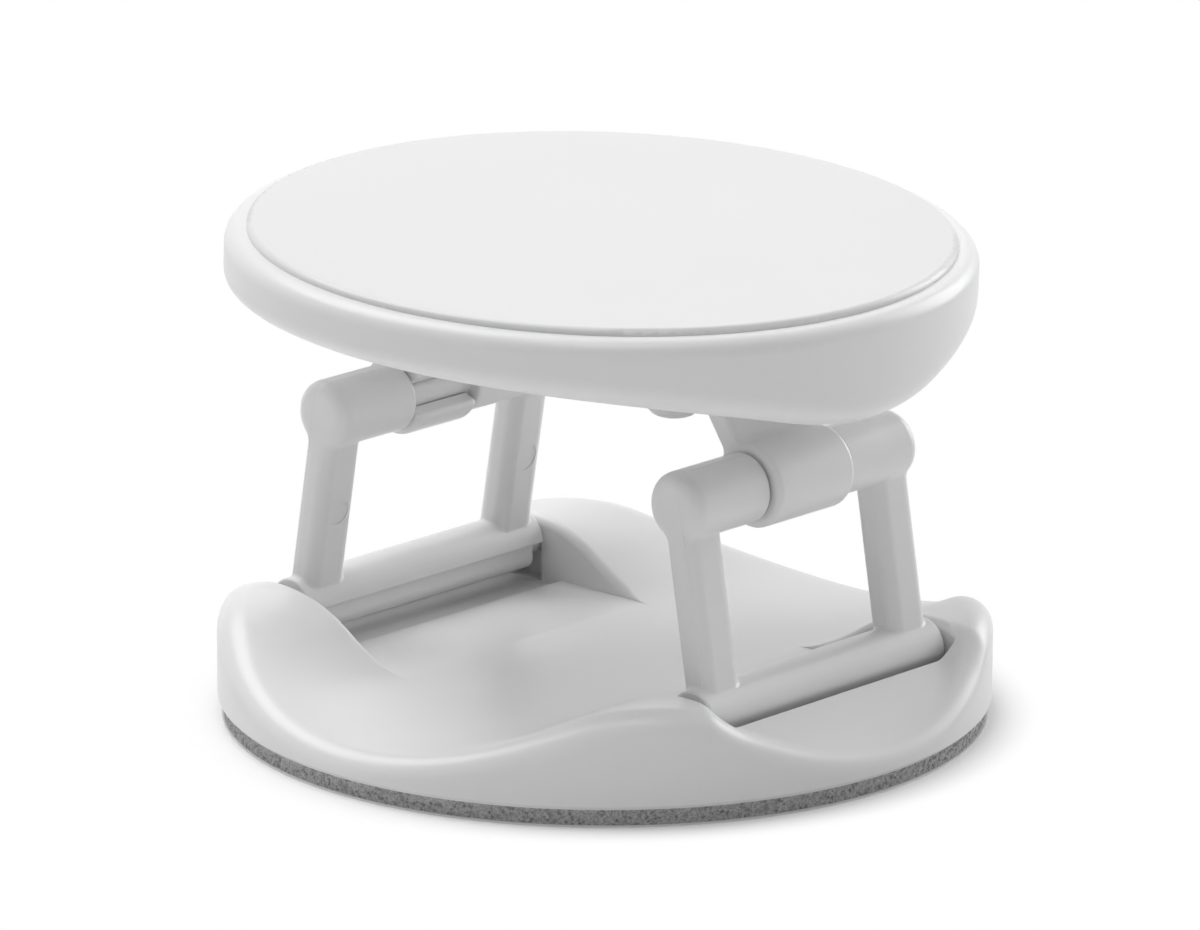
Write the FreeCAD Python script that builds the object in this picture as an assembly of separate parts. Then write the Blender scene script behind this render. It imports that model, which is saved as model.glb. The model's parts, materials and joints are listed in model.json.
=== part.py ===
import FreeCAD, Part
import math
import os

os.makedirs("parts", exist_ok=True)
V = FreeCAD.Vector

# Driving dimensions in millimetres. X runs across the two frames, Y along their bars, Z up from the table.

# Adhesive stack under the base
liner_thickness = 0.1
liner_inset = 0.2
foam_thickness = 0.82
foam_inset = 0.3

# Waved base moulding: a valley along Y between two crests, and a facet falling from each crest to the rim.
# Heights are counted from the moulding's underside, insets from its round side.
base_radius = 20.0
valley_height = 1.3
crest_height = 5.1
crest_inset = 6.25
crest_radius = 1.8
facet_rim_height = 0.7
rim_radius = 0.95
foot_chamfer = 0.2

# Pocket that lets the frames swing between the crests, with a deeper slot under each bar
pocket_step = 0.15
slot_floor_thickness = 0.8
slot_inner_gap = 0.85
slot_outer_gap = 0.3
slot_corner_radius = 0.5

# Frames: a lower bar with end journals, two legs, and two barrels with a thin pin between them
pivot_inset = 5.9
pivot_height = 3.52
frame_height = 10.48
frame_lean_in = 1.78
bar_radius = 1.47
bar_half = 8.8
bar_end_radius = 0.15
bar_foot_width = 1.25
bar_foot_half_length = 8.15
bar_foot_radius = 0.7
journal_radius = 0.95
journal_length = 0.9
leg_thickness = 1.9
leg_inner_y = 5.75
leg_outer_y = 8.4
leg_corner_radius = 0.75
leg_throat_radius = 0.6
leg_foot_fillet = 0.2
barrel_radius = 1.81
barrel_inner_y = 3.0
left_back_barrel_inner_y = 1.75
barrel_edge_radius = 0.2
pin_radius = 1.1
ejector_mark_radius = 0.72
ejector_mark_depth = 0.06
ejector_mark_place = 0.5

# Plate: a round disc with a keel below it along X, and a raised cover on its top
plate_radius = 19.25
plate_shift_x = -0.25
plate_rise = 10.35
plate_tilt = 2.4
disc_thickness = 2.74
keel_depth = 5.62
keel_radius = 20.9
flank_radius = 79.6
plate_lower_radius = 1.45
plate_upper_radius = 0.85
shell_wall = 1.5
ledge_width = 1.1
cover_overlap = 1.2
cover_proud = 0.36
cover_edge_radius = 0.32
cover_spigot_depth = 1.0

# Spring clips below the plate, open towards the middle, each on a slanted neck
clip_outer_radius = 2.15
clip_outer_offset = 0.15
clip_edge_radius = 0.35
clip_mouth_top = 38.0
clip_mouth_bottom = -24.0
clip_lip_radius = 0.25
neck_thickness = 1.3
neck_offset = 0.2
neck_slant = 34.0
neck_root_depth = 0.8
neck_blend_radius = 0.6

# Rest bosses between the clips
boss_x = 4.75
boss_radius = 1.5
boss_height = 1.68
boss_edge_radius = 0.9

# Clearances
bar_end_clearance = 0.25
journal_clearance = 0.1
barrel_clip_clearance = 0.15
pin_clearance = 0.1
free_pin_clearance = 0.28
free_pin_offset = 0.19
cover_clearance = 0.06
overrun = 1.0

# Derived places, stacked up from the table
base_bottom_z = liner_thickness + foam_thickness
valley_z = base_bottom_z + valley_height
crest_z = base_bottom_z + crest_height
facet_rim_z = base_bottom_z + facet_rim_height
pocket_floor_z = valley_z + pocket_step
slot_floor_z = base_bottom_z + slot_floor_thickness
pivot_z = base_bottom_z + pivot_height
pin_z = pivot_z + frame_height
plate_rim_z = pin_z + plate_rise
boss_bottom_z = pin_z + boss_height
crest_x = base_radius - crest_inset
pivot_x = base_radius - pivot_inset
pin_x = pivot_x - frame_lean_in
pocket_half = bar_half + bar_end_clearance
slot_inner_x = pivot_x - bar_radius - slot_inner_gap
slot_outer_x = pivot_x + bar_radius + slot_outer_gap
leg_length = math.hypot(frame_lean_in, frame_height)
frame_lean = math.degrees(math.atan2(frame_lean_in, frame_height))
clip_end_y = barrel_inner_y - barrel_clip_clearance
left_clip_back_y = left_back_barrel_inner_y - barrel_clip_clearance
cover_radius = plate_radius - ledge_width
cavity_radius = cover_radius - cover_overlap


def bar_along_y(radius, y_from, y_to, x=0.0, z=0.0):
    return Part.makeCylinder(radius, y_to - y_from, V(x, y_from, z), V(0, 1, 0))


def block(x_from, x_to, y_from, y_to, z_from, z_to):
    corner = V(x_from, y_from, z_from)
    return Part.makeBox(x_to - x_from, y_to - y_from, z_to - z_from, corner)


def mirrored_x(shape):
    return shape.mirror(V(0, 0, 0), V(1, 0, 0))


def mirrored_y(shape):
    return shape.mirror(V(0, 0, 0), V(0, 1, 0))


def both_sides(shape):
    return [shape, mirrored_x(shape)]


def near(value, target, tolerance=1e-4):
    return abs(value - target) < tolerance


def is_level_circle(edge, radius, z):
    round_edge = isinstance(edge.Curve, Part.Circle) and near(edge.Curve.Radius, radius)
    return round_edge and near(edge.BoundBox.ZMin, z) and near(edge.BoundBox.ZMax, z)


def is_end_circle(edge, radius, y):
    round_edge = isinstance(edge.Curve, Part.Circle) and near(edge.Curve.Radius, radius)
    return round_edge and near(edge.BoundBox.YMin, y) and near(edge.BoundBox.YMax, y)


def is_turned(face):
    surface = face.Surface
    upright = isinstance(surface, Part.Cylinder) and near(abs(surface.Axis.z), 1.0)
    return upright or isinstance(surface, Part.Toroid)


def is_round_along_y(face, radius):
    surface = face.Surface
    along_y = isinstance(surface, Part.Cylinder) and near(abs(surface.Axis.y), 1.0)
    return along_y and near(surface.Radius, radius)


def is_leg_side(face):
    surface = face.Surface
    upright_corner = isinstance(surface, Part.Cylinder) and near(abs(surface.Axis.z), 1.0)
    return upright_corner or (isinstance(surface, Part.Plane) and near(surface.Axis.z, 0.0))


def runs_along_y(edge):
    box = edge.BoundBox
    return box.YLength > 0.5 and near(box.XLength, 0.0) and near(box.ZLength, 0.0)


def lies_at_y(edge, y):
    return near(edge.BoundBox.YMin, y) and near(edge.BoundBox.YMax, y)


def outer_rim_edges(shape, z_from, z_to):
    # Edges between the round side wall and what tops or bottoms it
    chosen = []
    for edge in shape.Edges:
        turned = [is_turned(face) for face in shape.ancestorsOfType(edge, Part.Face)]
        within = edge.BoundBox.ZMin > z_from and edge.BoundBox.ZMax < z_to
        if within and len(turned) == 2 and turned[0] != turned[1]:
            chosen.append(edge)
    return chosen


def wave_solid():
    # The base's top, drawn across X and drawn out along Y: arcs of valley and crests that meet smoothly
    far_x = base_radius + overrun
    crest_centre_z = crest_z - crest_radius
    drop = valley_z - crest_centre_z
    valley_radius = (crest_x ** 2 + drop ** 2 - crest_radius ** 2) / (2 * (crest_radius - drop))
    share = valley_radius / (valley_radius + crest_radius)
    meet_x = crest_x * share
    meet_z = valley_z + valley_radius - (valley_radius + drop) * share
    reach = math.hypot(base_radius - crest_x, crest_centre_z - facet_rim_z)
    bearing = math.atan2(crest_centre_z - facet_rim_z, crest_x - base_radius)
    slope = bearing - math.asin(crest_radius / reach)
    facet_length = math.sqrt(reach ** 2 - crest_radius ** 2)
    facet_x = base_radius + facet_length * math.cos(slope)
    facet_z = facet_rim_z + facet_length * math.sin(slope)
    far_z = facet_rim_z + overrun * math.tan(slope)
    low_z = min(far_z, base_bottom_z) - overrun

    def at(x, z):
        return V(x, -far_x, z)

    edges = [Part.Arc(at(-meet_x, meet_z), at(0, valley_z), at(meet_x, meet_z)).toShape()]
    edges.append(Part.Arc(at(meet_x, meet_z), at(crest_x, crest_z), at(facet_x, facet_z)).toShape())
    outline = [(facet_x, facet_z), (far_x, far_z), (far_x, low_z)]
    outline += [(-far_x, low_z), (-far_x, far_z), (-facet_x, facet_z)]
    edges += Part.makePolygon([at(x, z) for x, z in outline]).Edges
    edges.append(Part.Arc(at(-facet_x, facet_z), at(-crest_x, crest_z), at(-meet_x, meet_z)).toShape())
    return Part.Face(Part.Wire(edges)).extrude(V(0, 2 * far_x, 0))


def base_blank():
    disc = Part.makeCylinder(base_radius, crest_height + overrun, V(0, 0, base_bottom_z))
    return disc.common(wave_solid())


def slot_below_bar():
    slot = block(slot_inner_x, slot_outer_x, -pocket_half, pocket_half, slot_floor_z, crest_z + overrun)
    corners = [edge for edge in slot.Edges if edge.BoundBox.ZLength > overrun]
    return slot.makeFillet(slot_corner_radius, corners)


def journal_notch():
    # A bearing in each crest's end wall, open downwards into the slot
    radius = journal_radius + journal_clearance
    reach = bar_half + journal_length + bar_end_clearance
    bore = bar_along_y(radius, -reach, reach, pivot_x, pivot_z)
    mouth = block(pivot_x - radius, pivot_x + radius, -reach, reach, slot_floor_z, pivot_z)
    return bore.fuse(mouth)


def base_plate():
    moulding = base_blank()
    moulding = moulding.makeFillet(rim_radius, outer_rim_edges(moulding, base_bottom_z, crest_z + overrun))
    foot = [edge for edge in moulding.Edges if is_level_circle(edge, base_radius, base_bottom_z)]
    moulding = moulding.makeChamfer(foot_chamfer, foot)
    pocket = block(-pivot_x, pivot_x, -pocket_half, pocket_half, pocket_floor_z, crest_z + overrun)
    cuts = [pocket] + both_sides(slot_below_bar()) + both_sides(journal_notch())
    return moulding.cut(cuts).removeSplitter()


def foam_pad():
    return Part.makeCylinder(base_radius - foam_inset, foam_thickness, V(0, 0, liner_thickness))


def release_liner():
    return Part.makeCylinder(base_radius - liner_inset, liner_thickness)


def lower_bar():
    # Round, but cut back below its middle on the inner side to a narrower foot, with a journal at each end
    bar = bar_along_y(bar_radius, -bar_half, bar_half)
    ends = [edge for edge in bar.Edges if is_end_circle(edge, bar_radius, bar_half)]
    ends += [edge for edge in bar.Edges if is_end_circle(edge, bar_radius, -bar_half)]
    bar = bar.makeFillet(bar_end_radius, ends)
    bar = bar.cut(block(-2 * bar_radius, 0, -2 * bar_half, 2 * bar_half, -2 * bar_radius, 0))
    foot = block(-bar_foot_width, 0, -bar_foot_half_length, bar_foot_half_length, -bar_radius, bar_radius / 2)
    sole = [edge for edge in foot.Edges if runs_along_y(edge) and near(edge.BoundBox.ZMin, -bar_radius)
            and near(edge.BoundBox.XMin, -bar_foot_width)]
    foot = foot.makeFillet(bar_foot_radius, sole)
    reach = bar_half + journal_length
    bar = bar.fuse([foot, bar_along_y(journal_radius, -reach, reach)])
    bar.rotate(V(0, 0, 0), V(0, 1, 0), frame_lean)
    return bar


def leg():
    # A post that widens into the round head at its top, all its edges rounded
    half = leg_thickness / 2
    post = block(-half, half, leg_inner_y, leg_outer_y, 0, leg_length)
    head = bar_along_y(barrel_radius, leg_inner_y, leg_outer_y, 0, leg_length)
    shape = post.fuse(head).removeSplitter()
    throats = [edge for edge in shape.Edges
               if runs_along_y(edge) and near(abs(edge.BoundBox.XMin), half) and edge.BoundBox.ZMin > half]
    shape = shape.makeFillet(leg_throat_radius, throats)
    rounds = [edge for edge in shape.Edges
              if (lies_at_y(edge, leg_outer_y) or lies_at_y(edge, leg_inner_y)) and edge.BoundBox.ZMax > half]
    return shape.makeFillet(leg_corner_radius, rounds)


def barrel(inner_y):
    shape = bar_along_y(barrel_radius, inner_y, (leg_inner_y + leg_outer_y) / 2, 0, leg_length)
    mouth = [edge for edge in shape.Edges if is_end_circle(edge, barrel_radius, inner_y)]
    return shape.makeFillet(barrel_edge_radius, mouth)


def ejector_mark():
    # A shallow round dent in the leg's inner face
    depth = ejector_mark_depth + overrun
    start = V(-leg_thickness / 2 - overrun, (leg_inner_y + leg_outer_y) / 2, leg_length * ejector_mark_place)
    return Part.makeCylinder(ejector_mark_radius, depth, start, V(1, 0, 0))


def foot_edges(frame):
    # Where the legs stand on the bar
    chosen = []
    for edge in frame.Edges:
        faces = frame.ancestorsOfType(edge, Part.Face)
        on_bar = [is_round_along_y(face, bar_radius) for face in faces]
        on_leg = [is_leg_side(face) for face in faces]
        if any(on_bar) and any(on_leg) and edge.BoundBox.ZMin > bar_radius / 2:
            chosen.append(edge)
    return chosen


def frame_side(inner_y):
    return leg().fuse(barrel(inner_y)).removeSplitter().cut(ejector_mark())


def right_frame(front_inner_y, back_inner_y):
    # Drawn upright over the origin, then leant towards the middle and set on its pivot
    sides = [mirrored_y(frame_side(front_inner_y)), frame_side(back_inner_y)]
    pin = bar_along_y(pin_radius, -front_inner_y - pin_radius, back_inner_y + pin_radius, 0, leg_length)
    frame = lower_bar().fuse(sides + [pin]).removeSplitter()
    frame = frame.makeFillet(leg_foot_fillet, foot_edges(frame))
    frame.rotate(V(0, 0, 0), V(0, 1, 0), -frame_lean)
    frame.translate(V(pivot_x, 0, pivot_z))
    return frame


def tilted_plate(shape):
    # From the plate's own level, with the rim's top at zero, to its place on the clips
    placed = shape.copy()
    placed.rotate(V(0, 0, 0), V(0, 1, 0), plate_tilt)
    placed.translate(V(plate_shift_x, 0, plate_rim_z))
    return placed


def plate_section():
    # Cross-section over Y: flat top, a rounded keel below and hollow flanks that run out to the rim
    far = plate_radius + overrun
    turn = math.acos(1 - (keel_depth - disc_thickness) / (keel_radius + flank_radius))
    keel_y = keel_radius * math.sin(turn)
    keel_z = -keel_depth + keel_radius * (1 - math.cos(turn))
    flat_y = (keel_radius + flank_radius) * math.sin(turn)

    def flank(y):
        rise = math.sqrt(flank_radius ** 2 - (flat_y - abs(y)) ** 2)
        return V(-far, y, rise - disc_thickness - flank_radius)

    middle = (keel_y + far) / 2
    keel = Part.Arc(V(-far, keel_y, keel_z), V(-far, 0, -keel_depth), V(-far, -keel_y, keel_z))
    edges = [Part.Arc(flank(far), flank(middle), V(-far, keel_y, keel_z)).toShape(), keel.toShape()]
    edges.append(Part.Arc(V(-far, -keel_y, keel_z), flank(-middle), flank(-far)).toShape())
    edges += Part.makePolygon([flank(-far), V(-far, -far, 0), V(-far, far, 0), flank(far)]).Edges
    return Part.Face(Part.Wire(edges)).extrude(V(2 * far, 0, 0))


def plate_body():
    round_edge = Part.makeCylinder(plate_radius, 2 * keel_depth, V(0, 0, -2 * keel_depth + overrun))
    body = plate_section().common(round_edge)
    lower = outer_rim_edges(body, -keel_depth - overrun, -disc_thickness / 2)
    body = body.makeFillet(plate_lower_radius, lower)
    upper = [edge for edge in body.Edges if is_level_circle(edge, plate_radius, 0)]
    return body.makeFillet(plate_upper_radius, upper)


def plate_cavity():
    # The room inside the shell, which follows its underside, and the seat of the cover's spigot
    room = plate_section()
    room.translate(V(0, 0, shell_wall))
    room = room.common(Part.makeCylinder(cavity_radius, 2 * keel_depth, V(0, 0, -keel_depth)))
    seat_depth = cover_spigot_depth + cover_clearance
    return room.fuse(Part.makeCylinder(cavity_radius, seat_depth + overrun, V(0, 0, -seat_depth)))


def clip_mouth(front_y, back_y):
    # A wedge from the pin's axis, open towards the middle
    reach = 2 * clip_outer_radius
    top = math.radians(180 - clip_mouth_top)
    bottom = math.radians(180 - clip_mouth_bottom)
    points = [
        V(0, front_y, 0),
        V(reach * math.cos(top), front_y, reach * math.sin(top)),
        V(reach * math.cos(bottom), front_y, reach * math.sin(bottom)),
        V(0, front_y, 0),
    ]
    return Part.Face(Part.makePolygon(points)).extrude(V(0, back_y - front_y, 0))


def clip(bore_radius, bore_offset, front_y, back_y):
    # The clip on the +X side, with its neck running up into the plate
    ring = bar_along_y(clip_outer_radius, front_y, back_y, clip_outer_offset, 0)
    neck_length = plate_rim_z - keel_depth + neck_root_depth - pin_z
    neck_top = neck_length * math.tan(math.radians(neck_slant))
    inner_x = neck_offset - neck_thickness / 2
    points = [
        V(inner_x, front_y, 0),
        V(inner_x - neck_top, front_y, neck_length),
        V(inner_x - neck_top + neck_thickness, front_y, neck_length),
        V(inner_x + neck_thickness, front_y, 0),
        V(inner_x, front_y, 0),
    ]
    neck = Part.Face(Part.makePolygon(points)).extrude(V(0, back_y - front_y, 0))
    shape = ring.fuse(neck).removeSplitter()
    shape = shape.makeFillet(neck_blend_radius, neck_corners(shape, neck_length))
    bore = bar_along_y(bore_radius, front_y, back_y, bore_offset, 0)
    shape = shape.cut([bore, clip_mouth(front_y, back_y)]).removeSplitter()
    shape = shape.makeFillet(clip_lip_radius, lip_edges(shape))
    outer = [edge for edge in shape.Edges
             if any(is_end_circle(edge, clip_outer_radius, y) for y in (front_y, back_y))]
    shape = shape.makeFillet(clip_edge_radius, outer)
    shape.translate(V(pin_x, 0, pin_z))
    return shape


def from_ring_axis(edge):
    return math.hypot(edge.BoundBox.XMin - clip_outer_offset, edge.BoundBox.ZMin)


def neck_corners(shape, neck_length):
    # The two inner corners between the neck and the ring
    return [edge for edge in shape.Edges if runs_along_y(edge) and 0 < edge.BoundBox.ZMin < neck_length / 2
            and from_ring_axis(edge) > 0.9 * clip_outer_radius]


def lip_edges(shape):
    # The outer edge of the lower lip
    return [edge for edge in shape.Edges if runs_along_y(edge) and edge.BoundBox.ZMin < 0
            and near(from_ring_axis(edge), clip_outer_radius)]


def rest_boss():
    top_z = plate_rim_z - keel_depth + neck_root_depth
    boss = Part.makeCylinder(boss_radius, top_z - boss_bottom_z, V(boss_x, 0, boss_bottom_z))
    tip = [edge for edge in boss.Edges if is_level_circle(edge, boss_radius, boss_bottom_z)]
    return boss.makeFillet(boss_edge_radius, tip)


def plate_shell():
    held_clip = mirrored_x(clip(pin_radius + pin_clearance, 0.0, -clip_end_y, left_clip_back_y))
    free_clip = clip(pin_radius + free_pin_clearance, free_pin_offset, -clip_end_y, clip_end_y)
    pieces = [held_clip, free_clip] + both_sides(rest_boss())
    shell = tilted_plate(plate_body()).fuse(pieces)
    return shell.cut(tilted_plate(plate_cavity())).removeSplitter()


def top_cover():
    cover = Part.makeCylinder(cover_radius, cover_proud)
    rim = [edge for edge in cover.Edges if is_level_circle(edge, cover_radius, cover_proud)]
    spigot_radius = cavity_radius - cover_clearance
    spigot = Part.makeCylinder(spigot_radius, cover_spigot_depth, V(0, 0, -cover_spigot_depth))
    return tilted_plate(cover.makeFillet(cover_edge_radius, rim).fuse(spigot))


shapes = {
    "base_plate": base_plate(),
    "foam_pad": foam_pad(),
    "release_liner": release_liner(),
    "right_frame": right_frame(barrel_inner_y, barrel_inner_y),
    "left_frame": mirrored_x(right_frame(barrel_inner_y, left_back_barrel_inner_y)),
    "plate_shell": plate_shell(),
    "top_cover": top_cover(),
}

for name, shape in shapes.items():
    shape.exportStep("parts/" + name + ".step")
    solids = len(shape.Solids)
    print(name, "solids", solids, "valid", shape.isValid(), "volume", round(shape.Volume, 3))
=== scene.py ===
import json
import math

import bmesh
import bpy
from mathutils import Matrix, Vector


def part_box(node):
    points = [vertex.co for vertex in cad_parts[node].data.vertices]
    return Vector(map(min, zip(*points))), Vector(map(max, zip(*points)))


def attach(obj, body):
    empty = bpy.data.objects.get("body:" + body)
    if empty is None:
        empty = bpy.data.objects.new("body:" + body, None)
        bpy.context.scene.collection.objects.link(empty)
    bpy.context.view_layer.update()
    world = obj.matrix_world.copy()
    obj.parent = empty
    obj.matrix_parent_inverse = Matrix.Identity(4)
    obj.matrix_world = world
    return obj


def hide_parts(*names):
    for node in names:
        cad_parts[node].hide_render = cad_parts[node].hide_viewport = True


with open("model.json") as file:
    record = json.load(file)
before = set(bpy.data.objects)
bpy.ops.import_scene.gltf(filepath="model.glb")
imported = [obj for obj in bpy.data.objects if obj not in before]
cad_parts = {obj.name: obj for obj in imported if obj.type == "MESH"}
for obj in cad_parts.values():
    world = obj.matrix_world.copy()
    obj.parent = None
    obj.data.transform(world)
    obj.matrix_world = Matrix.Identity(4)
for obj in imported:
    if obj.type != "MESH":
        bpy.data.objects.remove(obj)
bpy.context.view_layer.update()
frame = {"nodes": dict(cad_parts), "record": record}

MM = 0.001

# Camera, as the photograph was taken
IMAGE_WIDTH = 1200.0
VIEW_AZIMUTH = math.radians(42.914)
VIEW_ELEVATION = math.radians(16.114)
VIEW_ROLL = math.radians(0.155)
VIEW_DISTANCE = 450.0 * MM
VIEW_TARGET = Vector((0.0, 0.0, 12.72 * MM))
FOCAL_PIXELS = 8771.1
CENTRE_PIXEL = (605.4, 470.3)
MIDDLE_PIXEL = (600.0, 465.0)
SENSOR_WIDTH = 36.0
CLIP_START = 0.01

# Light: the world's level, and softboxes by name, with turn from the camera's side and elevation in degrees,
# distance and size in metres, and power in watts
WORLD_LEVEL = 0.26
SOFTBOXES = (
    ("key_softbox", 235.0, 60.0, 0.60, 0.52, 2.35),
    ("top_softbox", 0.0, 84.0, 0.55, 1.10, 0.25),
    ("front_softbox", 0.0, 72.0, 0.55, 0.25, 0.42),
    ("back_softbox", 180.0, 40.0, 0.60, 0.50, 0.18),
    ("right_back_softbox", 128.0, 18.0, 0.60, 0.40, 1.45),
)

# Floor: half its width in metres, and the distances between which its shadow gives way to white
FLOOR_HALF = 2.0
SHADOW_REACH = (19.2 * MM, 22.6 * MM)
FLOOR_COLOUR = (0.95, 0.95, 0.95, 1.0)
WHITE = (1.0, 1.0, 1.0, 1.0)

# Surfaces: noise scales per metre, the spans over which noise and cells are ramped, their effect, and colours
FLOW_SCALE = 70.0
GRAIN_SCALE = 9000.0
FIBRE_SCALE = 1400.0
NOISE_SPAN = (0.3, 0.7)
CELL_SPAN = (0.1, 0.6)
FLOW_SHADE = 0.985
FLOW_GLOSS = 0.06
GRAIN_GLOSS = 0.10
# The foam's dark colour serves both its speckle and painted shade in its open cells; the cell weight sets how
# much of that shade is painted.
CELL_SHADE_WEIGHT = 0.4
SPECKLE_WEIGHT = 0.6
FOAM_SPECKLE_AND_CELL_SHADE = (0.17, 0.17, 0.173, 1.0)
FOAM_PALE = (0.54, 0.54, 0.545, 1.0)
LINER_DARK = (0.72, 0.72, 0.70, 1.0)
LINER_PALE = (0.82, 0.82, 0.80, 1.0)


def joint_place(name):
    joints = frame["record"]["behaviour"]["joints"]
    return Vector(next(joint["pos_m"] for joint in joints if joint["name"] == name))


# Waved base moulding: a valley between two crests. The wave is a little lower at the pocket than at the rim,
# and a flat facet falls from each slot to the rim.
base_low, base_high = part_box("base_plate")
BASE_RADIUS = base_high.x
BASE_BOTTOM = base_low.z
PIVOT = joint_place("right_frame_swing")
RIM_WAVE = {"valley_z": BASE_BOTTOM + 1.4 * MM, "crest_x": 14.5 * MM, "crest_z": BASE_BOTTOM + 4.95 * MM,
            "inner_radius": 7.0 * MM, "outer_radius": 4.4 * MM, "foot_z": BASE_BOTTOM + 0.86 * MM}
POCKET_WAVE = {"valley_z": BASE_BOTTOM + 0.4 * MM, "crest_x": 14.4 * MM, "crest_z": BASE_BOTTOM + 4.83 * MM,
               "inner_radius": 9.0 * MM, "outer_radius": 5.2 * MM, "foot_z": BASE_BOTTOM + 0.9 * MM}
VALLEY_FLOOR = BASE_BOTTOM + 1.27 * MM
VALLEY_SOFTNESS = 0.6 * MM
FACET_TOP = BASE_BOTTOM + 3.33 * MM
FACET_FOOT = BASE_BOTTOM + 0.9 * MM
SLOT_BLEND = (7.6 * MM, 9.9 * MM)
RIM_BLEND = (2.5 * MM, 13.0 * MM)
LOBE_BLEND = 1.1 * MM
POCKET_HALF = 9.05 * MM
POCKET_FLOOR = BASE_BOTTOM + 1.48 * MM
FLOOR_SOFTNESS = 0.1 * MM
SLOT_FLOOR = BASE_BOTTOM + 1.15 * MM
SLOT_INNER = PIVOT.x - 2.32 * MM
SLOT_OUTER = PIVOT.x + 1.95 * MM
SLOT_CORNER = 0.15 * MM
RIM_ROUND = (1.15 * MM, 1.45 * MM)
FOOT_CHAMFER = 0.2 * MM
WALL_ROUND = 0.5 * MM
WALL_ROUND_SHARE = 0.95
EDGE_ROUND = 0.12 * MM
SAME_PLACE = EDGE_ROUND / 10
PLATEAU_ROUND = 0.2 * MM
BEARING_RADIUS = 1.05 * MM
BEARING_DEPTH = 0.9 * MM
BEARING_FLOOR = SLOT_FLOOR + 0.02 * MM

# Foam pad: cells that lie open in its cut side
foam_low, foam_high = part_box("foam_pad")
FOAM_SAG = 0.05 * MM
FOAM_EDGE_ROWS = 2
CELL_SIZE = 0.26 * MM
CELL_DEPTH = 0.09 * MM

# Parting ridge of the frames' mould: up each leg's outer face, over its head and along the barrel
PIN = joint_place("plate_turn")
LEFT_PIVOT = joint_place("left_frame_swing")
RIDGE_SIDES = 8
RIDGE_RADIUS = 0.06 * MM
RIDGE_DEPTH = 0.042 * MM
RIDGE_OFFSET = 0.5 * MM
RIDGE_FOOT = 1.4 * MM
LEG_OUTER = 8.4 * MM
LEG_HALF = 0.95 * MM
LEG_CORNER = 0.75 * MM
HEAD_RADIUS = 1.81 * MM
BARREL_INNER = 3.2 * MM

# Steps of the meshes, the distance at which vertices merge and the angle from which an edge is sharp
WALL_STEPS = 44
CORNER_STEPS = 8
SLOT_STEPS = 24
PLATEAU_STEPS = 72
ROUND_STEPS = 10
TOP_STEPS = 36
SIDE_STEPS = 3
MERGE_DISTANCE = 0.0002 * MM
SHARP_ANGLE = math.radians(32.0)
FOAM_COLUMNS = 2400
FOAM_ROWS = 16


class Socket:
    """A node socket in an expression: arithmetic on it adds Math nodes to its tree."""

    def __init__(self, tree, socket):
        self.tree = tree
        self.socket = socket

    def _math(self, operation, *values):
        return self.tree.add("ShaderNodeMath", {"operation": operation}, list(values))

    def __add__(self, other):
        return self._math("ADD", self, other)

    __radd__ = __add__

    def __sub__(self, other):
        return self._math("SUBTRACT", self, other)

    def __rsub__(self, other):
        return self._math("SUBTRACT", other, self)

    def __mul__(self, other):
        return self._math("MULTIPLY", self, other)

    def __rtruediv__(self, other):
        return self._math("DIVIDE", other, self)

    def clamped(self):
        return self.tree.add("ShaderNodeClamp", {}, {"Value": self}, "Result")

    def ramp(self, low, high):
        """0 below low, 1 above high, smooth between."""
        settings = {"interpolation_type": "SMOOTHSTEP"}
        return self.tree.add("ShaderNodeMapRange", settings, {"Value": self, 1: low, 2: high}, "Result")


class Tree:
    """A node tree that adds nodes by type, settings and socket values."""

    def __init__(self, node_tree):
        self.node_tree = node_tree
        node_tree.nodes.clear()

    def add(self, kind, settings=None, inputs=None, output=0):
        node = self.node_tree.nodes.new(kind)
        for name, value in (settings or {}).items():
            setattr(node, name, value)
        pairs = inputs.items() if isinstance(inputs, dict) else enumerate(inputs or [])
        for key, value in pairs:
            if isinstance(value, Socket):
                self.node_tree.links.new(value.socket, node.inputs[key])
            else:
                node.inputs[key].default_value = value
        if not node.outputs:
            return node
        return Socket(self, node.outputs[output])

    def object_place(self):
        return self.add("ShaderNodeTexCoord", {}, {}, "Object")

    def noise(self, place, scale, detail=2.0):
        return self.add("ShaderNodeTexNoise", {}, {"Vector": place, "Scale": scale, "Detail": detail}, "Fac")

    def mixed(self, share, first, second):
        """A colour between two; the Mix node's colours are its inputs 6 and 7 and its output 2."""
        return self.add("ShaderNodeMix", {"data_type": "RGBA"}, {0: share, 6: first, 7: second}, 2)

    def bump(self, height, strength, distance):
        inputs = {"Strength": strength, "Distance": distance, "Height": height}
        return self.add("ShaderNodeBump", {}, inputs, "Normal")

    def seen(self):
        """1 for rays from the camera, and for reflected and transmitted ones."""
        kinds = ("Is Camera Ray", "Is Glossy Ray", "Is Transmission Ray")
        camera, glossy, transmitted = (self.add("ShaderNodeLightPath", {}, {}, kind) for kind in kinds)
        return (camera + glossy + transmitted).clamped()


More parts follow.
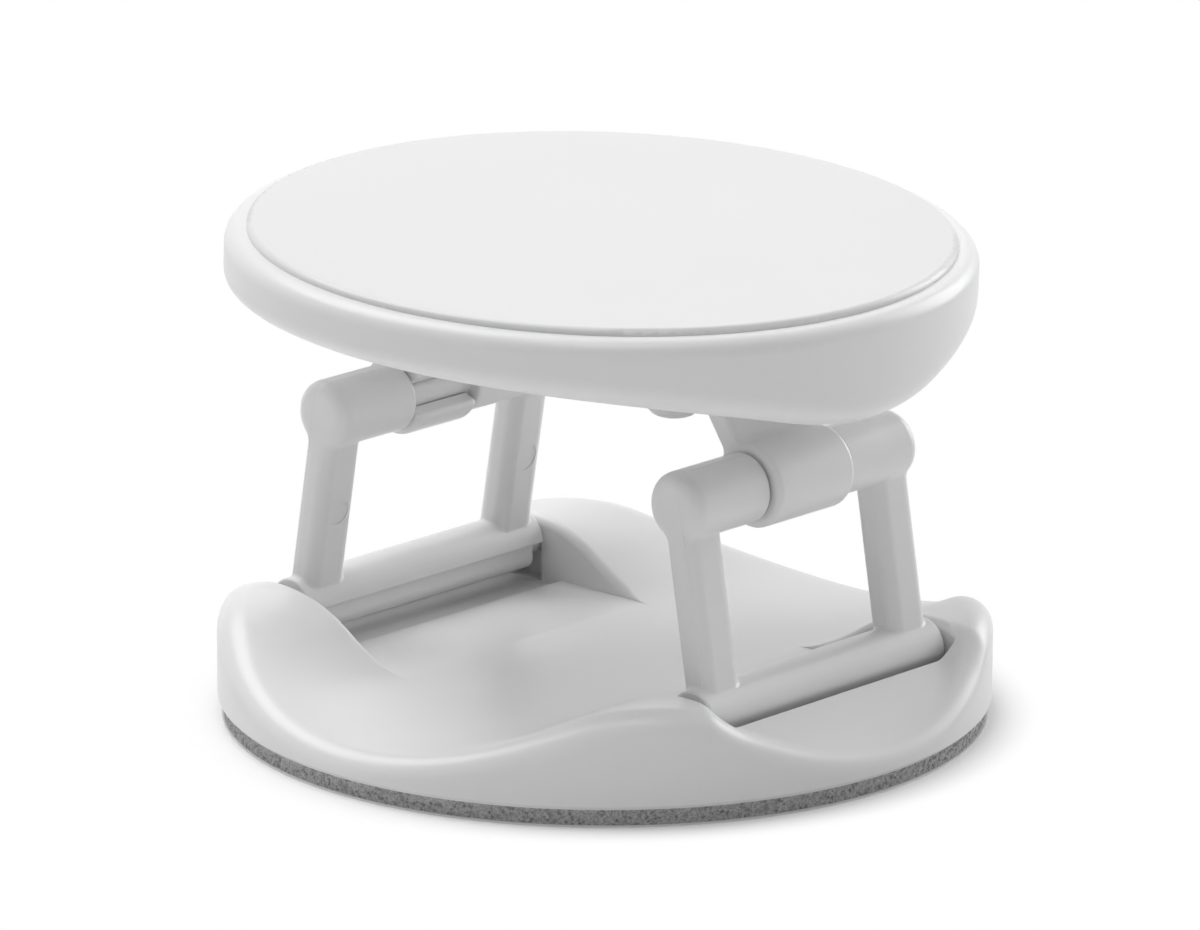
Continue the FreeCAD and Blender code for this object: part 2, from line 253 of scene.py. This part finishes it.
class Shaper(Tree):
    """A Geometry Nodes tree with named inputs, a geometry and a material among them."""

    def __init__(self, name, sizes):
        group = bpy.data.node_groups.new(name, "GeometryNodeTree")
        super().__init__(group)
        kinds = {"Geometry": "NodeSocketGeometry", "Material": "NodeSocketMaterial"}
        kinds.update({size: "NodeSocketFloat" for size in sizes})
        for label, kind in kinds.items():
            group.interface.new_socket(label, in_out="INPUT", socket_type=kind)
        group.interface.new_socket("Geometry", in_out="OUTPUT", socket_type="NodeSocketGeometry")
        self.source = group.nodes.new("NodeGroupInput")

    def given(self, label):
        return Socket(self, self.source.outputs[label])

    def finish(self, geometry):
        real = self.add("GeometryNodeRealizeInstances", {}, {"Geometry": geometry})
        material = self.given("Material")
        painted = self.add("GeometryNodeSetMaterial", {}, {"Geometry": real, "Material": material})
        self.add("NodeGroupOutput", {}, {"Geometry": painted})

    def shape(self, piece, values):
        """Runs the tree on a piece, and keeps the result as the piece's plain mesh."""
        modifier = piece.modifiers.new(self.node_tree.name, "NODES")
        modifier.node_group = self.node_tree
        for item in self.node_tree.interface.items_tree:
            if item.in_out == "INPUT" and item.name in values:
                modifier[item.identifier] = values[item.name]
        settle(piece)


def new_material(name):
    material = bpy.data.materials.new(name)
    material.use_nodes = True
    return material, Tree(material.node_tree)


def finish_material(tree, shader):
    tree.add("ShaderNodeOutputMaterial", {}, {"Surface": shader})


def white_plastic(name, colour, roughness, grain):
    """Satin moulded plastic: a fine spark texture, and faint flow clouds in its colour and gloss."""
    material, tree = new_material(name)
    place = tree.object_place()
    cloud = tree.noise(place, FLOW_SCALE)
    fine = tree.noise(place, GRAIN_SCALE)
    pale = tuple(colour) + (1.0,)
    shaded = tuple(channel * FLOW_SHADE for channel in colour) + (1.0,)
    tint = tree.mixed(cloud.ramp(*NOISE_SPAN), pale, shaded)
    bump = tree.bump(fine, strength=0.15, distance=grain)
    gloss = roughness + (cloud - 0.5) * FLOW_GLOSS + (fine - 0.5) * GRAIN_GLOSS
    shader = tree.add("ShaderNodeBsdfPrincipled", {}, {
        "Base Color": tint, "Roughness": gloss, "Normal": bump, "IOR": 1.5, "Specular IOR Level": 0.5})
    finish_material(tree, shader)
    return material


def grey_foam():
    """Open-celled foam: paler cell walls, cells darkened with painted shade, and a fine speckle."""
    material, tree = new_material("grey_foam")
    place = tree.object_place()
    cells = tree.add("ShaderNodeTexVoronoi", {}, {"Vector": place, "Scale": 1.0 / CELL_SIZE}, "Distance")
    speckle = tree.noise(place, GRAIN_SCALE)
    # Painted shade: the open cells are darkened towards their middles; the speckle is the foam's own tone.
    wall = cells.ramp(*CELL_SPAN) * CELL_SHADE_WEIGHT + speckle.ramp(*NOISE_SPAN) * SPECKLE_WEIGHT
    colour = tree.mixed(wall, FOAM_SPECKLE_AND_CELL_SHADE, FOAM_PALE)
    bump = tree.bump(speckle, strength=0.5, distance=0.03 * MM)
    shader = tree.add("ShaderNodeBsdfPrincipled", {}, {
        "Base Color": colour, "Roughness": 0.85, "Normal": bump, "Specular IOR Level": 0.2})
    finish_material(tree, shader)
    return material


def liner_film():
    material, tree = new_material("liner_film")
    place = tree.object_place()
    fibres = tree.noise(place, FIBRE_SCALE, detail=3.0)
    colour = tree.mixed(fibres, LINER_DARK, LINER_PALE)
    bump = tree.bump(fibres, strength=0.1, distance=0.02 * MM)
    shader = tree.add("ShaderNodeBsdfPrincipled", {}, {
        "Base Color": colour, "Roughness": 0.4, "Normal": bump})
    finish_material(tree, shader)
    return material


def set_material(mesh, material):
    mesh.materials.clear()
    mesh.materials.append(material)


def paint(node, material):
    set_material(frame["nodes"][node].data, material)


def new_object(name, mesh, material):
    set_material(mesh, material)
    piece = bpy.data.objects.new(name, mesh)
    bpy.context.scene.collection.objects.link(piece)
    return piece


def mesh_from(bm, name):
    """The finished mesh of a bmesh: doubles merged, faces outwards."""
    bmesh.ops.remove_doubles(bm, verts=bm.verts, dist=MERGE_DISTANCE)
    bmesh.ops.dissolve_degenerate(bm, dist=MERGE_DISTANCE, edges=bm.edges)
    bmesh.ops.recalc_face_normals(bm, faces=bm.faces)
    mesh = bpy.data.meshes.new(name)
    bm.to_mesh(mesh)
    bm.free()
    return mesh


def shade_by_angle(mesh):
    mesh.shade_smooth()
    mesh.set_sharp_from_angle(angle=SHARP_ANGLE)


def smooth_step(low, high, value):
    share = min(max((value - low) / (high - low), 0.0), 1.0)
    return share * share * (3.0 - 2.0 * share)


def between(first, second, share):
    return first + (second - first) * share


def spaced(first, last, steps):
    return [between(first, last, step / steps) for step in range(steps + 1)]


def soft_lower(first, second, softness):
    """The lower of two heights, with a smooth change from one to the other."""
    share = min(max(0.5 + 0.5 * (second - first) / softness, 0.0), 1.0)
    return between(second, first, share) - softness * share * (1.0 - share)


def soft_upper(first, second, softness):
    return -soft_lower(-first, -second, softness)


def round_drop(distance, radius):
    """How far a rounded edge lies below its sharp one, at a distance from the wall."""
    left = max(1.0 - distance / radius, 0.0)
    return radius * (1.0 - math.sqrt(1.0 - left * left))


def wave(valley_z, crest_x, crest_z, inner_radius, outer_radius, foot_z):
    """Heights across the base: a valley, a crest and a straight facet.

    The valley is one arc and the crest two, each tangent to the next.
    """
    drop = valley_z - crest_z + inner_radius
    valley_radius = (crest_x ** 2 + drop ** 2 - inner_radius ** 2) / (2.0 * (inner_radius - drop))
    meet_x = crest_x * valley_radius / (valley_radius + inner_radius)
    outer_z = crest_z - outer_radius
    reach = math.hypot(BASE_RADIUS - crest_x, outer_z - foot_z)
    fall = math.asin(outer_radius / reach) + math.asin((outer_z - foot_z) / reach)
    facet_x = crest_x + outer_radius * math.sin(fall)

    def height(x):
        if x < meet_x:
            return valley_z + valley_radius - math.sqrt(valley_radius ** 2 - x * x)
        if x < facet_x:
            radius = inner_radius if x < crest_x else outer_radius
            return crest_z - radius + math.sqrt(radius ** 2 - (x - crest_x) ** 2)
        return foot_z + (BASE_RADIUS - x) * math.tan(fall)

    return height


rim_wave = wave(**RIM_WAVE)
pocket_arcs = wave(**POCKET_WAVE)


def pocket_wave(x):
    """The wave beside the pocket, with its valley filled."""
    return soft_upper(pocket_arcs(x), VALLEY_FLOOR, VALLEY_SOFTNESS)


def facet(x):
    return between(FACET_TOP, FACET_FOOT, (x - SLOT_OUTER) / (BASE_RADIUS - SLOT_OUTER))


def base_height(x, y):
    """The base's top outside the pocket, before any edge is rounded."""
    x, y = abs(x), abs(y)
    rim_y = math.sqrt(max(BASE_RADIUS ** 2 - x * x, 0.0))
    outward = smooth_step(POCKET_HALF, max(rim_y, POCKET_HALF + EDGE_ROUND), y)
    lobe = between(pocket_wave(x), rim_wave(x), outward)
    rim_x = math.sqrt(BASE_RADIUS ** 2 - y * y)
    along = min(max((x - SLOT_OUTER) / (rim_x - SLOT_OUTER), 0.0), 1.0) if rim_x > SLOT_OUTER else 0.0
    middle = facet(x) + (rim_wave(rim_x) - facet(rim_x)) * along ** 2
    share = min(max((x - SLOT_OUTER) / (BASE_RADIUS - SLOT_OUTER), 0.0), 1.0)
    blend = [between(near, far, share) for near, far in zip(SLOT_BLEND, RIM_BLEND)]
    beside_slot = smooth_step(SLOT_OUTER - LOBE_BLEND, SLOT_OUTER, x) * (1.0 - smooth_step(*blend, y))
    return between(lobe, middle, beside_slot)


def plateau_height(x):
    """The pocket's floor between the slots, rounded off at each slot."""
    x = abs(x)
    level = soft_lower(pocket_wave(x), POCKET_FLOOR, FLOOR_SOFTNESS)
    return level - round_drop(SLOT_INNER - x, PLATEAU_ROUND)


def wall_round(x, y):
    """Radius of the pocket's upper edge.

    It is wide on the end walls, where it fades out with their height, and crisp beside a slot.
    """
    if abs(y) < POCKET_HALF - SLOT_CORNER:
        return EDGE_ROUND
    foot = SLOT_FLOOR if abs(x) > SLOT_INNER else plateau_height(x)
    wide = min(WALL_ROUND, WALL_ROUND_SHARE * (base_height(x, y) - foot))
    return between(wide, EDGE_ROUND, smooth_step(SLOT_OUTER - LOBE_BLEND, SLOT_OUTER - SLOT_CORNER, abs(x)))


def pocket_quarter():
    """A quarter of the pocket's outline, with its outward directions.

    It runs from the middle of the +X wall to the middle of the +Y wall.
    """
    points = [(SLOT_OUTER, y, 1.0, 0.0) for y in spaced(0.0, POCKET_HALF - SLOT_CORNER, WALL_STEPS)]
    for angle in spaced(0.0, math.pi / 2, CORNER_STEPS)[1:]:
        out = (math.cos(angle), math.sin(angle))
        corner_x = SLOT_OUTER - SLOT_CORNER * (1.0 - out[0])
        corner_y = POCKET_HALF - SLOT_CORNER * (1.0 - out[1])
        points.append((corner_x, corner_y, *out))
    stations = spaced(SLOT_OUTER - SLOT_CORNER, SLOT_INNER, SLOT_STEPS)[1:]
    turns = spaced(0.0, math.pi / 2, ROUND_STEPS)[1:]
    stations += [SLOT_INNER - PLATEAU_ROUND * (1.0 - math.cos(turn)) for turn in turns]
    stations += spaced(SLOT_INNER - PLATEAU_ROUND, 0.0, PLATEAU_STEPS)[1:]
    return points + [(x, POCKET_HALF, 0.0, 1.0) for x in stations]


def pocket_outline():
    quarter = pocket_quarter()
    outline = list(quarter)
    outline += [(-x, y, -across, along) for x, y, across, along in reversed(quarter[:-1])]
    outline += [(-x, -y, -across, -along) for x, y, across, along in quarter[1:]]
    outline += [(x, -y, across, -along) for x, y, across, along in reversed(quarter[1:-1])]
    return outline


def rim_section(angle):
    """Distance from the middle and height, from the top's end, round the rim and down to the underside."""
    across, along = math.cos(angle), math.sin(angle)

    def top(radius):
        return base_height(radius * across, radius * along)

    share = smooth_step(RIM_WAVE["valley_z"], RIM_WAVE["crest_z"], top(BASE_RADIUS))
    radius = between(*RIM_ROUND, share)
    slope = (top(BASE_RADIUS) - top(BASE_RADIUS - radius)) / radius
    fall = math.atan(-slope)
    inner = BASE_RADIUS - radius * (1.0 - math.sin(fall))
    centre_z = top(inner) - radius * math.cos(fall)
    turns = spaced(math.pi / 2 - fall, 0.0, ROUND_STEPS)
    section = [(BASE_RADIUS - radius * (1.0 - math.cos(turn)), centre_z + radius * math.sin(turn))
               for turn in turns]
    section += [(BASE_RADIUS, z) for z in spaced(centre_z, BASE_BOTTOM + FOOT_CHAMFER, SIDE_STEPS)[1:]]
    return section + [(BASE_RADIUS - FOOT_CHAMFER, BASE_BOTTOM)]


def base_column(x, y, across, along):
    """Points from the top of the pocket's wall, over the base's top and rim, to its underside."""
    radius = wall_round(x, y)
    points = []
    for turn in spaced(0.0, math.pi / 2, ROUND_STEPS):
        offset = radius * (1.0 - math.cos(turn))
        at_x, at_y = x + across * offset, y + along * offset
        points.append((at_x, at_y, base_height(at_x, at_y) - radius * (1.0 - math.sin(turn))))
    start_x, start_y = points[-1][:2]
    angle = math.atan2(start_y, start_x)
    section = rim_section(angle)
    start = math.hypot(start_x, start_y)
    for distance in spaced(start, section[0][0], TOP_STEPS)[1:-1]:
        at_x, at_y = distance * math.cos(angle), distance * math.sin(angle)
        points.append((at_x, at_y, base_height(at_x, at_y)))
    return points + [(distance * math.cos(angle), distance * math.sin(angle), z) for distance, z in section]


def vertex_below(top, vertices):
    return next(vertex for vertex in vertices if (vertex.co.xy - top.co.xy).length < SAME_PLACE)


def add_base_floor(bm, outline, tops):
    """The pocket's walls, its plateau and its two slots, below the tops of the walls."""
    count = len(outline)
    on_plateau = [abs(x) < SLOT_INNER + SAME_PLACE for x, *_ in outline]
    in_slot = [abs(x) > SLOT_INNER - SAME_PLACE for x, *_ in outline]
    plateau = [bm.verts.new((x, y, plateau_height(x))) if on else None
               for (x, y, *_), on in zip(outline, on_plateau)]
    slot = [bm.verts.new((x, y, SLOT_FLOOR)) if on else None for (x, y, *_), on in zip(outline, in_slot)]
    for here in range(count):
        there = (here + 1) % count
        if on_plateau[here] and on_plateau[there]:
            bm.faces.new((plateau[here], plateau[there], tops[there], tops[here]))
            continue
        ring = [slot[here], slot[there], plateau[there], tops[there], tops[here], plateau[here]]
        bm.faces.new([vertex for vertex in ring if vertex])
    pairs = {}
    for vertex in filter(None, plateau):
        pairs.setdefault(round(vertex.co.x / MM, 6), []).append(vertex)
    rows = [sorted(pair, key=lambda vertex: vertex.co.y) for _, pair in sorted(pairs.items())]
    for (left_front, left_back), (right_front, right_back) in zip(rows, rows[1:]):
        bm.faces.new((left_front, right_front, right_back, left_back))
    for side in (-1.0, 1.0):
        floor = [vertex for vertex in slot if vertex and vertex.co.x * side > 0.0]
        floor.sort(key=lambda vertex: math.atan2(vertex.co.y, vertex.co.x - side * PIVOT.x))
        bm.faces.new(floor)
        edge = rows[0] if side < 0.0 else rows[-1]
        feet = [vertex_below(top, floor) for top in edge]
        bm.faces.new((feet[0], feet[1], edge[1], edge[0]))


def bearing_cutter():
    """The four bearings of the journals: round above, open downwards into the slots."""
    bm = bmesh.new()
    section = [(-BEARING_RADIUS, BEARING_FLOOR - PIVOT.z), (BEARING_RADIUS, BEARING_FLOOR - PIVOT.z)]
    section += [(BEARING_RADIUS * math.cos(turn), BEARING_RADIUS * math.sin(turn))
                for turn in spaced(0.0, math.pi, 4 * ROUND_STEPS)]
    for side_x in (-1.0, 1.0):
        for side_y in (-1.0, 1.0):
            ends = []
            for y in (POCKET_HALF - BEARING_DEPTH, POCKET_HALF + BEARING_DEPTH):
                ring = [(side_x * PIVOT.x + x, side_y * y, PIVOT.z + z) for x, z in section]
                ends.append([bm.verts.new(point) for point in ring])
                bm.faces.new(ends[-1])
            for here in range(len(section)):
                there = (here + 1) % len(section)
                bm.faces.new((ends[0][here], ends[0][there], ends[1][there], ends[1][here]))
    return mesh_from(bm, "bearing_cutter")


def cut(piece, cutter_mesh):
    """Takes the cutter out of the piece's mesh, for good."""
    cutter = new_object(cutter_mesh.name, cutter_mesh, piece.data.materials[0])
    modifier = piece.modifiers.new("bearings", "BOOLEAN")
    modifier.operation = "DIFFERENCE"
    modifier.solver = "EXACT"
    modifier.object = cutter
    settle(piece)
    bpy.data.objects.remove(cutter)


def settle(piece):
    """Turns what the piece's modifiers make into its plain mesh."""
    evaluated = piece.evaluated_get(bpy.context.evaluated_depsgraph_get())
    piece.data = bpy.data.meshes.new_from_object(evaluated)
    piece.modifiers.clear()


def base_moulding(material):
    bm = bmesh.new()
    outline = pocket_outline()
    columns = [[bm.verts.new(point) for point in base_column(*place)] for place in outline]
    for here, column in enumerate(columns):
        after = columns[(here + 1) % len(columns)]
        for row in range(len(column) - 1):
            bm.faces.new((column[row], after[row], after[row + 1], column[row + 1]))
    add_base_floor(bm, outline, [column[0] for column in columns])
    bm.faces.new([column[-1] for column in columns])
    piece = new_object("base_moulding", mesh_from(bm, "base_moulding"), material)
    cut(piece, bearing_cutter())
    shade_by_angle(piece.data)
    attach(piece, "base")
    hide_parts("base_plate")


def foam_blank():
    """The pad as it is cut out: a disc with a slightly hollow side, in fine steps for its open cells."""
    bm = bmesh.new()
    side = bm.verts.layers.float.new("side")
    rings = []
    for row in range(FOAM_ROWS + 1):
        share = row / FOAM_ROWS
        radius = foam_high.x - FOAM_SAG * math.sin(math.pi * share)
        z = between(foam_low.z, foam_high.z, share)
        ring = []
        for column in range(FOAM_COLUMNS):
            turn = 2.0 * math.pi * column / FOAM_COLUMNS
            vertex = bm.verts.new((radius * math.cos(turn), radius * math.sin(turn), z))
            vertex[side] = min(row, FOAM_ROWS - row, FOAM_EDGE_ROWS) / FOAM_EDGE_ROWS
            ring.append(vertex)
        rings.append(ring)
    for lower, upper in zip(rings, rings[1:]):
        for here in range(FOAM_COLUMNS):
            there = (here + 1) % FOAM_COLUMNS
            bm.faces.new((lower[here], lower[there], upper[there], upper[here]))
    bm.faces.new(rings[0])
    bm.faces.new(rings[-1])
    return mesh_from(bm, "open_foam")


def foam_cells():
    """Sinks open cells into the foam's side, and none at its cut edges."""
    tree = Shaper("foam_cells", ("Cell Size", "Cell Depth"))
    place = tree.add("GeometryNodeInputPosition")
    per_metre = 1.0 / tree.given("Cell Size")
    cells = tree.add("ShaderNodeTexVoronoi", {}, {"Vector": place, "Scale": per_metre}, "Distance")
    side = tree.add("GeometryNodeInputNamedAttribute", {"data_type": "FLOAT"}, {"Name": "side"})
    depth = (1.0 - cells.ramp(*CELL_SPAN)) * side * tree.given("Cell Depth")
    normal = tree.add("GeometryNodeInputNormal")
    inwards = tree.add("ShaderNodeVectorMath", {"operation": "SCALE"}, {0: normal, "Scale": depth * -1.0})
    blank = tree.given("Geometry")
    tree.finish(tree.add("GeometryNodeSetPosition", {}, {"Geometry": blank, "Offset": inwards}))
    return tree


def open_foam(material):
    piece = new_object("open_foam", foam_blank(), material)
    foam_cells().shape(piece, {"Cell Size": CELL_SIZE, "Cell Depth": CELL_DEPTH, "Material": material})
    shade_by_angle(piece.data)
    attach(piece, "base")
    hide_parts("foam_pad")


def ridge_path():
    """Offsets along the leg and along Y of a parting ridge, from the leg's foot to the barrel's inner end."""
    flat_half = LEG_HALF - LEG_CORNER
    head_face = LEG_OUTER - RIDGE_DEPTH
    leg_face = head_face - round_drop(LEG_HALF - RIDGE_OFFSET, LEG_CORNER)
    head = (PIN - LEFT_PIVOT).length
    flat_head = HEAD_RADIUS - LEG_CORNER
    bend = LEG_CORNER - RIDGE_DEPTH
    path = [(RIDGE_FOOT, leg_face), (head - HEAD_RADIUS - flat_half, leg_face), (head - flat_head, head_face)]
    for turn in spaced(0.0, math.pi / 2, ROUND_STEPS):
        reach = flat_head + bend * math.sin(turn)
        rise = math.sqrt(reach ** 2 - RIDGE_OFFSET ** 2)
        path.append((head + rise, head_face - bend * (1.0 - math.cos(turn))))
    return path + [(path[-1][0], BARREL_INNER)]


def parting_ridge():
    """Sweeps a fine round ridge along the edges of a mesh."""
    tree = Shaper("parting_ridge", ("Radius",))
    path = tree.add("GeometryNodeMeshToCurve", {}, {"Mesh": tree.given("Geometry")})
    circle = {"Resolution": RIDGE_SIDES, "Radius": tree.given("Radius")}
    ring = tree.add("GeometryNodeCurvePrimitiveCircle", {}, circle)
    sweep = {"Curve": path, "Profile Curve": ring, "Fill Caps": True}
    tree.finish(tree.add("GeometryNodeCurveToMesh", {}, sweep))
    return tree


def frame_ridges(tree, body, side, material):
    """The parting ridges of one frame; side is -1 for the left frame and 1 for the right one."""
    up = (PIN - LEFT_PIVOT).normalized()
    out = Vector((-up.z, 0.0, up.x))
    points = []
    edges = []
    for end in (-1.0, 1.0):
        for step, (along, y) in enumerate(ridge_path()):
            place = LEFT_PIVOT + up * along + out * RIDGE_OFFSET
            if step:
                edges.append((len(points) - 1, len(points)))
            points.append((-side * place.x, end * y, place.z))
    mesh = bpy.data.meshes.new(body + "_ridges")
    mesh.from_pydata(points, edges, [])
    piece = new_object(mesh.name, mesh, material)
    tree.shape(piece, {"Radius": RIDGE_RADIUS, "Material": material})
    piece.data.shade_smooth()
    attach(piece, body)


def studio_floor():
    """A pale floor that keeps the shadow near the object and goes over into plain white further out."""
    material, tree = new_material("studio_floor")
    place = tree.object_place()
    reach = tree.add("ShaderNodeVectorMath", {"operation": "LENGTH"}, {0: place}, "Value")
    matt = tree.add("ShaderNodeBsdfDiffuse", {}, {"Color": FLOOR_COLOUR})
    white = tree.add("ShaderNodeEmission", {}, {"Color": WHITE, "Strength": 1.0})
    outer = reach.ramp(*SHADOW_REACH) * tree.seen()
    finish_material(tree, tree.add("ShaderNodeMixShader", {}, [outer, matt, white]))
    signs = ((-1.0, -1.0), (1.0, -1.0), (1.0, 1.0), (-1.0, 1.0))
    corners = [(across * FLOOR_HALF, along * FLOOR_HALF, 0.0) for across, along in signs]
    mesh = bpy.data.meshes.new("studio_floor")
    mesh.from_pydata(corners, [], [(0, 1, 2, 3)])
    new_object("studio_floor", mesh, material)


def studio_world(strength):
    world = bpy.data.worlds.new("studio")
    world.use_nodes = True
    bpy.context.scene.world = world
    tree = Tree(world.node_tree)
    level = strength + tree.seen() * (1.0 - strength)
    sky = tree.add("ShaderNodeBackground", {}, {"Color": WHITE, "Strength": level})
    tree.add("ShaderNodeOutputWorld", {}, {"Surface": sky})


def direction(azimuth, elevation):
    """From the object outwards; the azimuth is counted from -Y towards +X."""
    level = math.cos(elevation)
    return Vector((math.sin(azimuth) * level, -math.cos(azimuth) * level, math.sin(elevation)))


def soft_lamp(name, turn_from_view, elevation, distance, size, power):
    """A round softbox aimed at the object; its turn is counted from the camera's side, to the right."""
    out = direction(VIEW_AZIMUTH + math.radians(turn_from_view), math.radians(elevation))
    lamp = bpy.data.lights.new(name, "AREA")
    lamp.shape = "DISK"
    lamp.size = size
    lamp.energy = power
    holder = bpy.data.objects.new(name, lamp)
    aim = (-out).to_track_quat("-Z", "Y").to_matrix().to_4x4()
    holder.matrix_world = Matrix.Translation(VIEW_TARGET + out * distance) @ aim
    holder.visible_camera = False
    bpy.context.scene.collection.objects.link(holder)


def photo_camera():
    out = direction(VIEW_AZIMUTH, VIEW_ELEVATION)
    level = Vector((math.cos(VIEW_AZIMUTH), math.sin(VIEW_AZIMUTH), 0.0))
    rise = out.cross(level)
    right = math.cos(VIEW_ROLL) * level + math.sin(VIEW_ROLL) * rise
    up = math.cos(VIEW_ROLL) * rise - math.sin(VIEW_ROLL) * level
    turn = Matrix((right, up, out)).transposed().to_4x4()
    data = bpy.data.cameras.new("photo_camera")
    data.sensor_width = SENSOR_WIDTH
    data.lens = FOCAL_PIXELS * SENSOR_WIDTH / IMAGE_WIDTH
    data.shift_x = (MIDDLE_PIXEL[0] - CENTRE_PIXEL[0]) / IMAGE_WIDTH
    data.shift_y = (CENTRE_PIXEL[1] - MIDDLE_PIXEL[1]) / IMAGE_WIDTH
    data.clip_start = CLIP_START
    camera = bpy.data.objects.new("photo_camera", data)
    camera.matrix_world = Matrix.Translation(VIEW_TARGET + out * VIEW_DISTANCE) @ turn
    bpy.context.scene.collection.objects.link(camera)
    bpy.context.scene.camera = camera


bpy.context.scene.view_settings.view_transform = "Standard"
moulding = white_plastic("white_moulding", colour=(0.80, 0.80, 0.805), roughness=0.33, grain=0.02 * MM)
# Painted shade: the cover is the same white as the moulding, given a darker colour to tone down how bright
# its upward face renders under the lamps.
cover_painted_shade = white_plastic("white_cover", colour=(0.73, 0.73, 0.735), roughness=0.32, grain=0.012 * MM)
for node in ("left_frame", "right_frame", "plate_shell"):
    paint(node, moulding)
paint("top_cover", cover_painted_shade)
paint("release_liner", liner_film())
base_moulding(moulding)
open_foam(grey_foam())
ridges = parting_ridge()
frame_ridges(ridges, "left_frame", -1.0, moulding)
frame_ridges(ridges, "right_frame", 1.0, moulding)

studio_floor()
studio_world(WORLD_LEVEL)
for name, turn, elevation, distance, size, power in SOFTBOXES:
    soft_lamp(name, turn, elevation, distance, size, power)
photo_camera()
